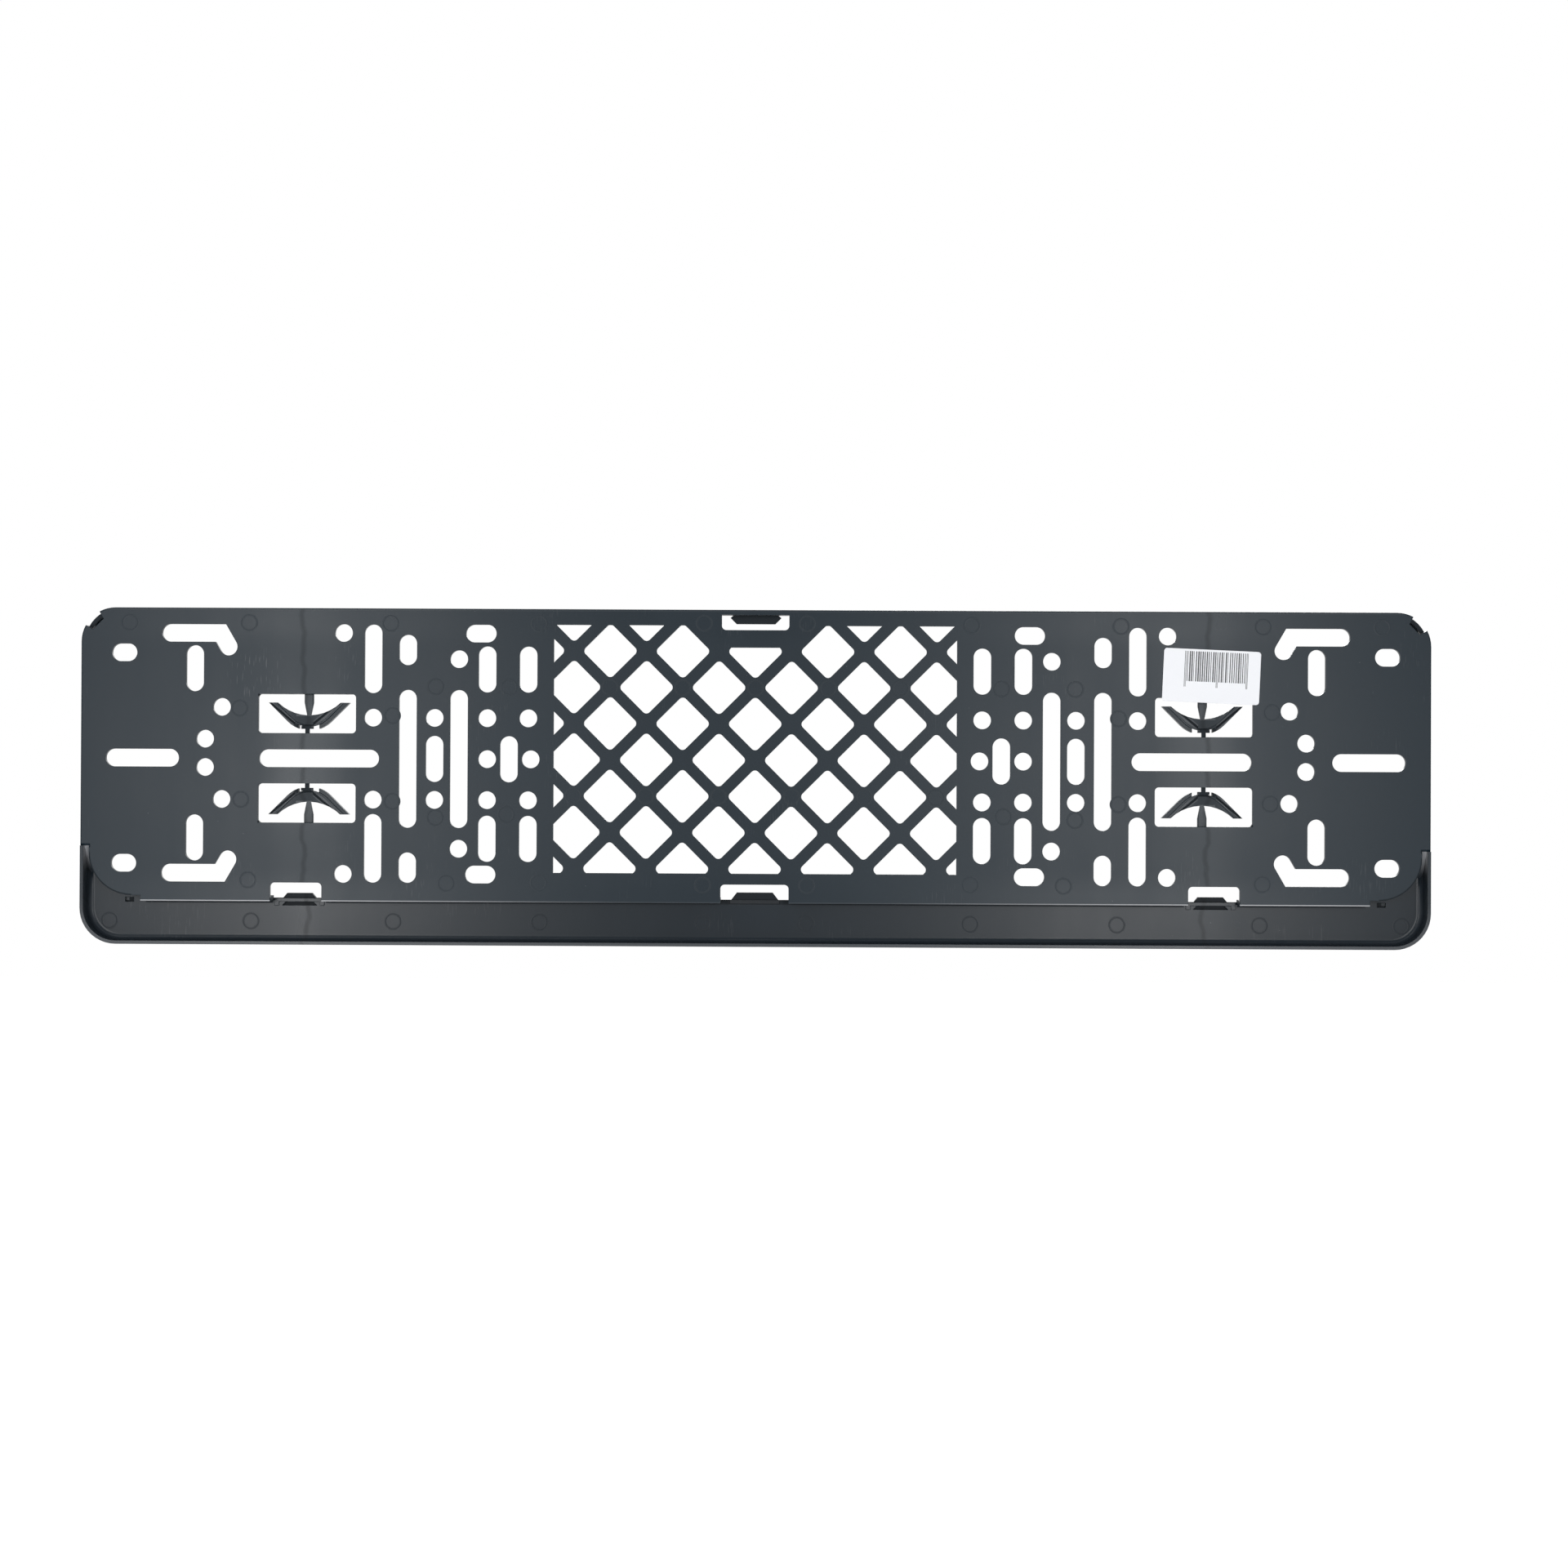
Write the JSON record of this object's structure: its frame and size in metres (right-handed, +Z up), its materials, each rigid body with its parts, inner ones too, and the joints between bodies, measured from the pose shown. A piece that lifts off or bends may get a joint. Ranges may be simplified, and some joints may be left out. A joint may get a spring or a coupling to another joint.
{
  "type": "number plate holder",
  "caption": "Moulded holder for a European car number plate: a perforated tray with bow springs is bolted to the car, and a clip-on strip closes its lower edge.",
  "frame": {"origin": "on the flat back face, at the middle of the hole pattern", "axes": "+Z up, +Y out of the back face towards the car, -Y towards the number plate and its reader, +X along the length"},
  "size_m": [0.5332, 0.011, 0.1335],
  "materials": {
    "charcoal_plastic": "charcoal black moulded plastic, satin, with faint flow lines",
    "strip_plastic": "charcoal black moulded plastic, satin",
    "label_paper": "smooth white label paper with grey printed bars"
  },
  "bodies": {
    "root": {"base_plate": "charcoal_plastic", "lower_strip": "strip_plastic", "adhesive_label": "label_paper"}
  },
  "joints": []
}
